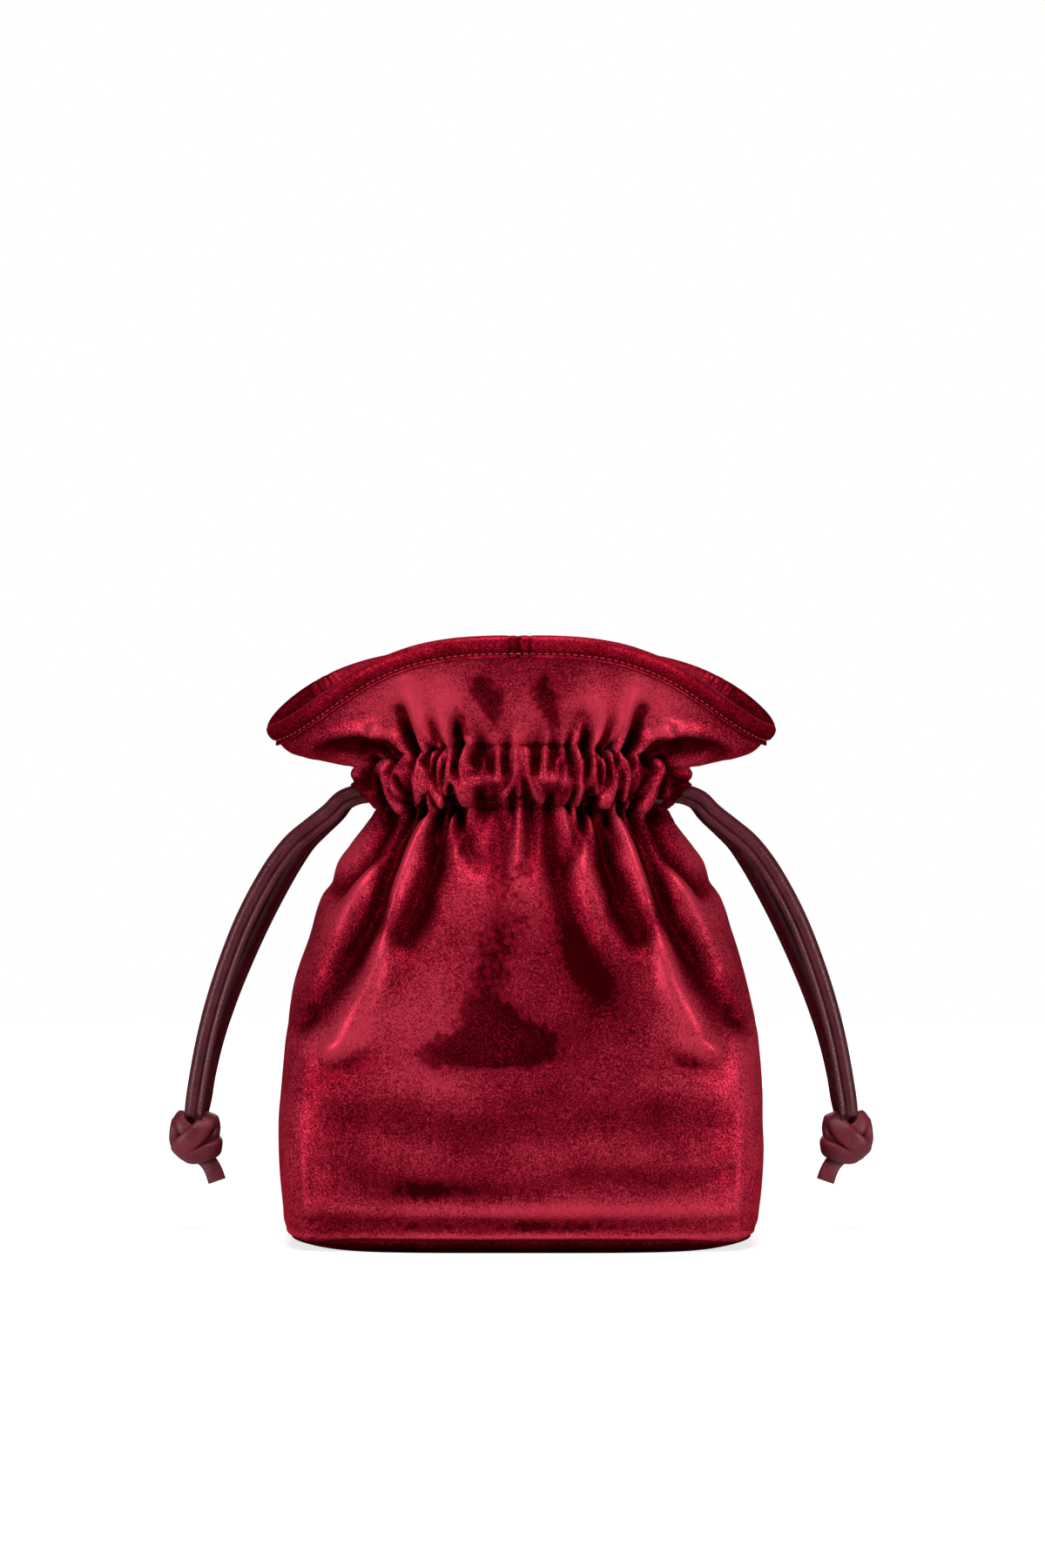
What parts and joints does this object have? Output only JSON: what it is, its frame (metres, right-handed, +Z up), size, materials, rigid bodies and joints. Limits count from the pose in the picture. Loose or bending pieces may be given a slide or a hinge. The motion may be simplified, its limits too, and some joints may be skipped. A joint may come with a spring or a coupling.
{
  "type": "kinchaku drawstring pouch",
  "caption": "Velvet drawstring pouch with a flat oblong base, a gathered casing, a ruffled bound mouth and a knotted leather cord at each side.",
  "frame": {"origin": "on the floor under the middle of the base", "axes": "+Z up to the mouth, +X along the width towards the right-hand cord, -Y out of the front"},
  "size_m": [0.3006, 0.1128, 0.2539],
  "materials": {
    "velvet": "crimson velvet with a soft sheen and brushed nap",
    "base_velvet": "crimson velvet over a stiff board",
    "binding": "crimson velvet band with one line of stitching",
    "facing": "plain woven facing",
    "leather": "satin burgundy leather, rolled and edge-stitched"
  },
  "bodies": {
    "root": {"body_front": "velvet", "body_back": "velvet", "base_panel": "base_velvet", "mouth_binding": "binding", "casing_strip_front": "facing", "casing_strip_back": "facing", "cord_left": "leather", "cord_right": "leather", "knot_left": "leather", "knot_right": "leather"}
  },
  "joints": []
}
